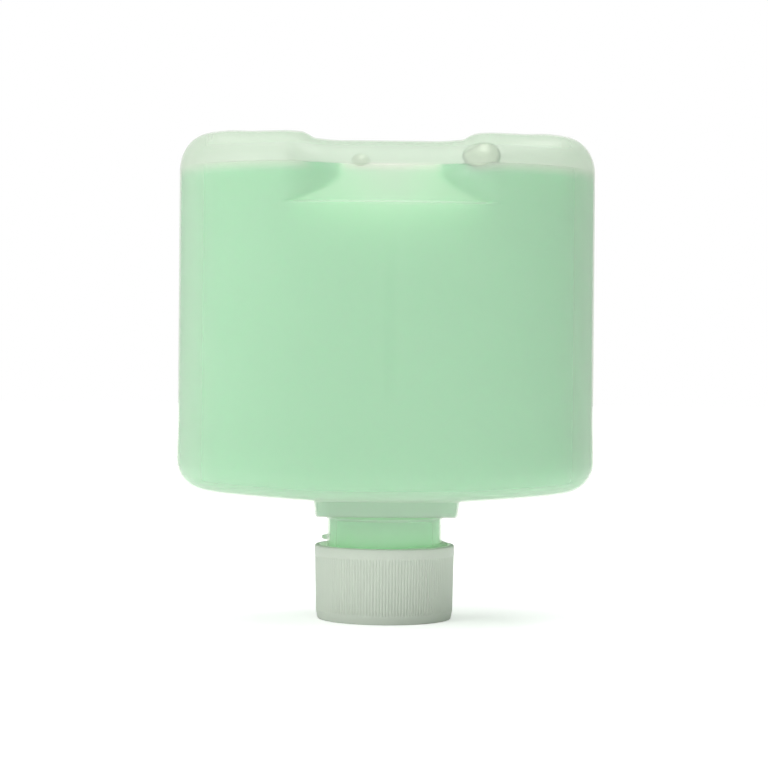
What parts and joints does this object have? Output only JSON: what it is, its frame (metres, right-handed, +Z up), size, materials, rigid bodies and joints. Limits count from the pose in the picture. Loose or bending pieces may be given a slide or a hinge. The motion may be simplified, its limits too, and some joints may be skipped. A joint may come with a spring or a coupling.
{
  "type": "hand soap refill pack",
  "caption": "Flat-sided translucent refill bottle full of green hand soap, upside down on its white ribbed screw cap.",
  "frame": {"origin": "centre of the cap's flat end face, on which the pack stands", "axes": "+Z up along the neck's axis, X along the bottle's width, -Y out of the broad side with the recess"},
  "size_m": [0.1226, 0.0724, 0.1419],
  "materials": {
    "milky_plastic": "semi-gloss milky translucent",
    "green_soap": "cloudy green liquid",
    "cap_plastic": "satin off-white",
    "liner_foam": "matt white foam"
  },
  "bodies": {
    "cap": {"screw_cap": "cap_plastic"},
    "liner": {"cap_liner": "liner_foam"},
    "pack": {"bottle": "milky_plastic", "soap_fill": "green_soap"}
  },
  "joints": [
    {"name": "unscrew_turn", "type": "hinge", "parent": "cap", "child": "liner", "pos_m": [0, 0, 0], "axis": [0, 0, 1], "range_deg": [0, 1800]},
    {"name": "unscrew_rise", "type": "slide", "parent": "liner", "child": "pack", "axis": [0, 0, 1], "range_m": [0, 0.02116]}
  ],
  "couplings": [
    {"joint": "unscrew_rise", "follows": "unscrew_turn", "m_per_rad": 0.00067322}
  ]
}
